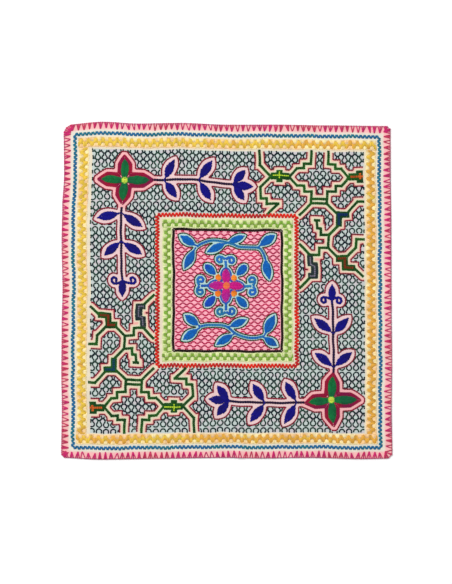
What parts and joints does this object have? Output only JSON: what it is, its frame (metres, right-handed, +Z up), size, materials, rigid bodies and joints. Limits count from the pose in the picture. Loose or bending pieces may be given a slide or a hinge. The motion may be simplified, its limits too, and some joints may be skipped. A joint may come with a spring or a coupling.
{
  "type": "shipibo embroidered cloth",
  "caption": "Flat square cotton cloth with raised embroidery: leafy corner branches, stepped-line corners, framed middle panel and blanket-stitched edge.",
  "frame": {"origin": "centre of the cloth's underside, on the surface that it lies on", "axes": "+Z up out of the embroidered face, +X to the right and +Y up the cloth as it is looked down on"},
  "size_m": [0.4223, 0.4305, 0.0022],
  "materials": {
    "cotton": "cream plain-weave cotton with matt multicoloured cotton embroidery"
  },
  "bodies": {
    "root": {"cloth": "cotton"}
  },
  "joints": []
}
